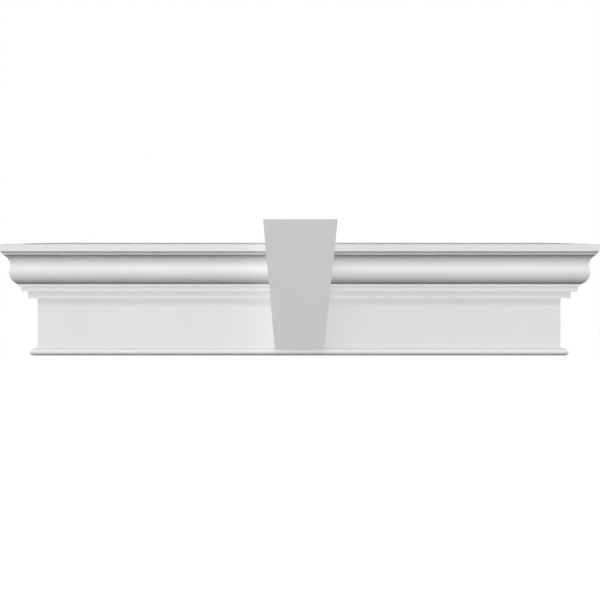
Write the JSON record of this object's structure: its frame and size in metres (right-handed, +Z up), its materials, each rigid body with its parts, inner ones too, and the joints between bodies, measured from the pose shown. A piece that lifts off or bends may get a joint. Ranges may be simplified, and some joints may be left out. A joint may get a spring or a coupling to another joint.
{
  "type": "crosshead moulding",
  "caption": "Crosshead moulding for over a door or window: plain frieze, bead, stepped fillets, cyma and sloped cap returned at both ends, with a plain raked keystone over its middle.",
  "frame": {"origin": "middle of the header's flat back, on the face of the wall, halfway up the header at the wall", "axes": "+X along the moulding to the right, +Y into the wall, +Z up; the moulded face looks along -Y"},
  "size_m": [1.2098, 0.1434, 0.2747],
  "materials": {
    "primed_polyurethane": "smooth white factory primer on moulded high-density polyurethane, satin to matt"
  },
  "bodies": {
    "root": {"header": "primed_polyurethane", "keystone": "primed_polyurethane"}
  },
  "joints": []
}
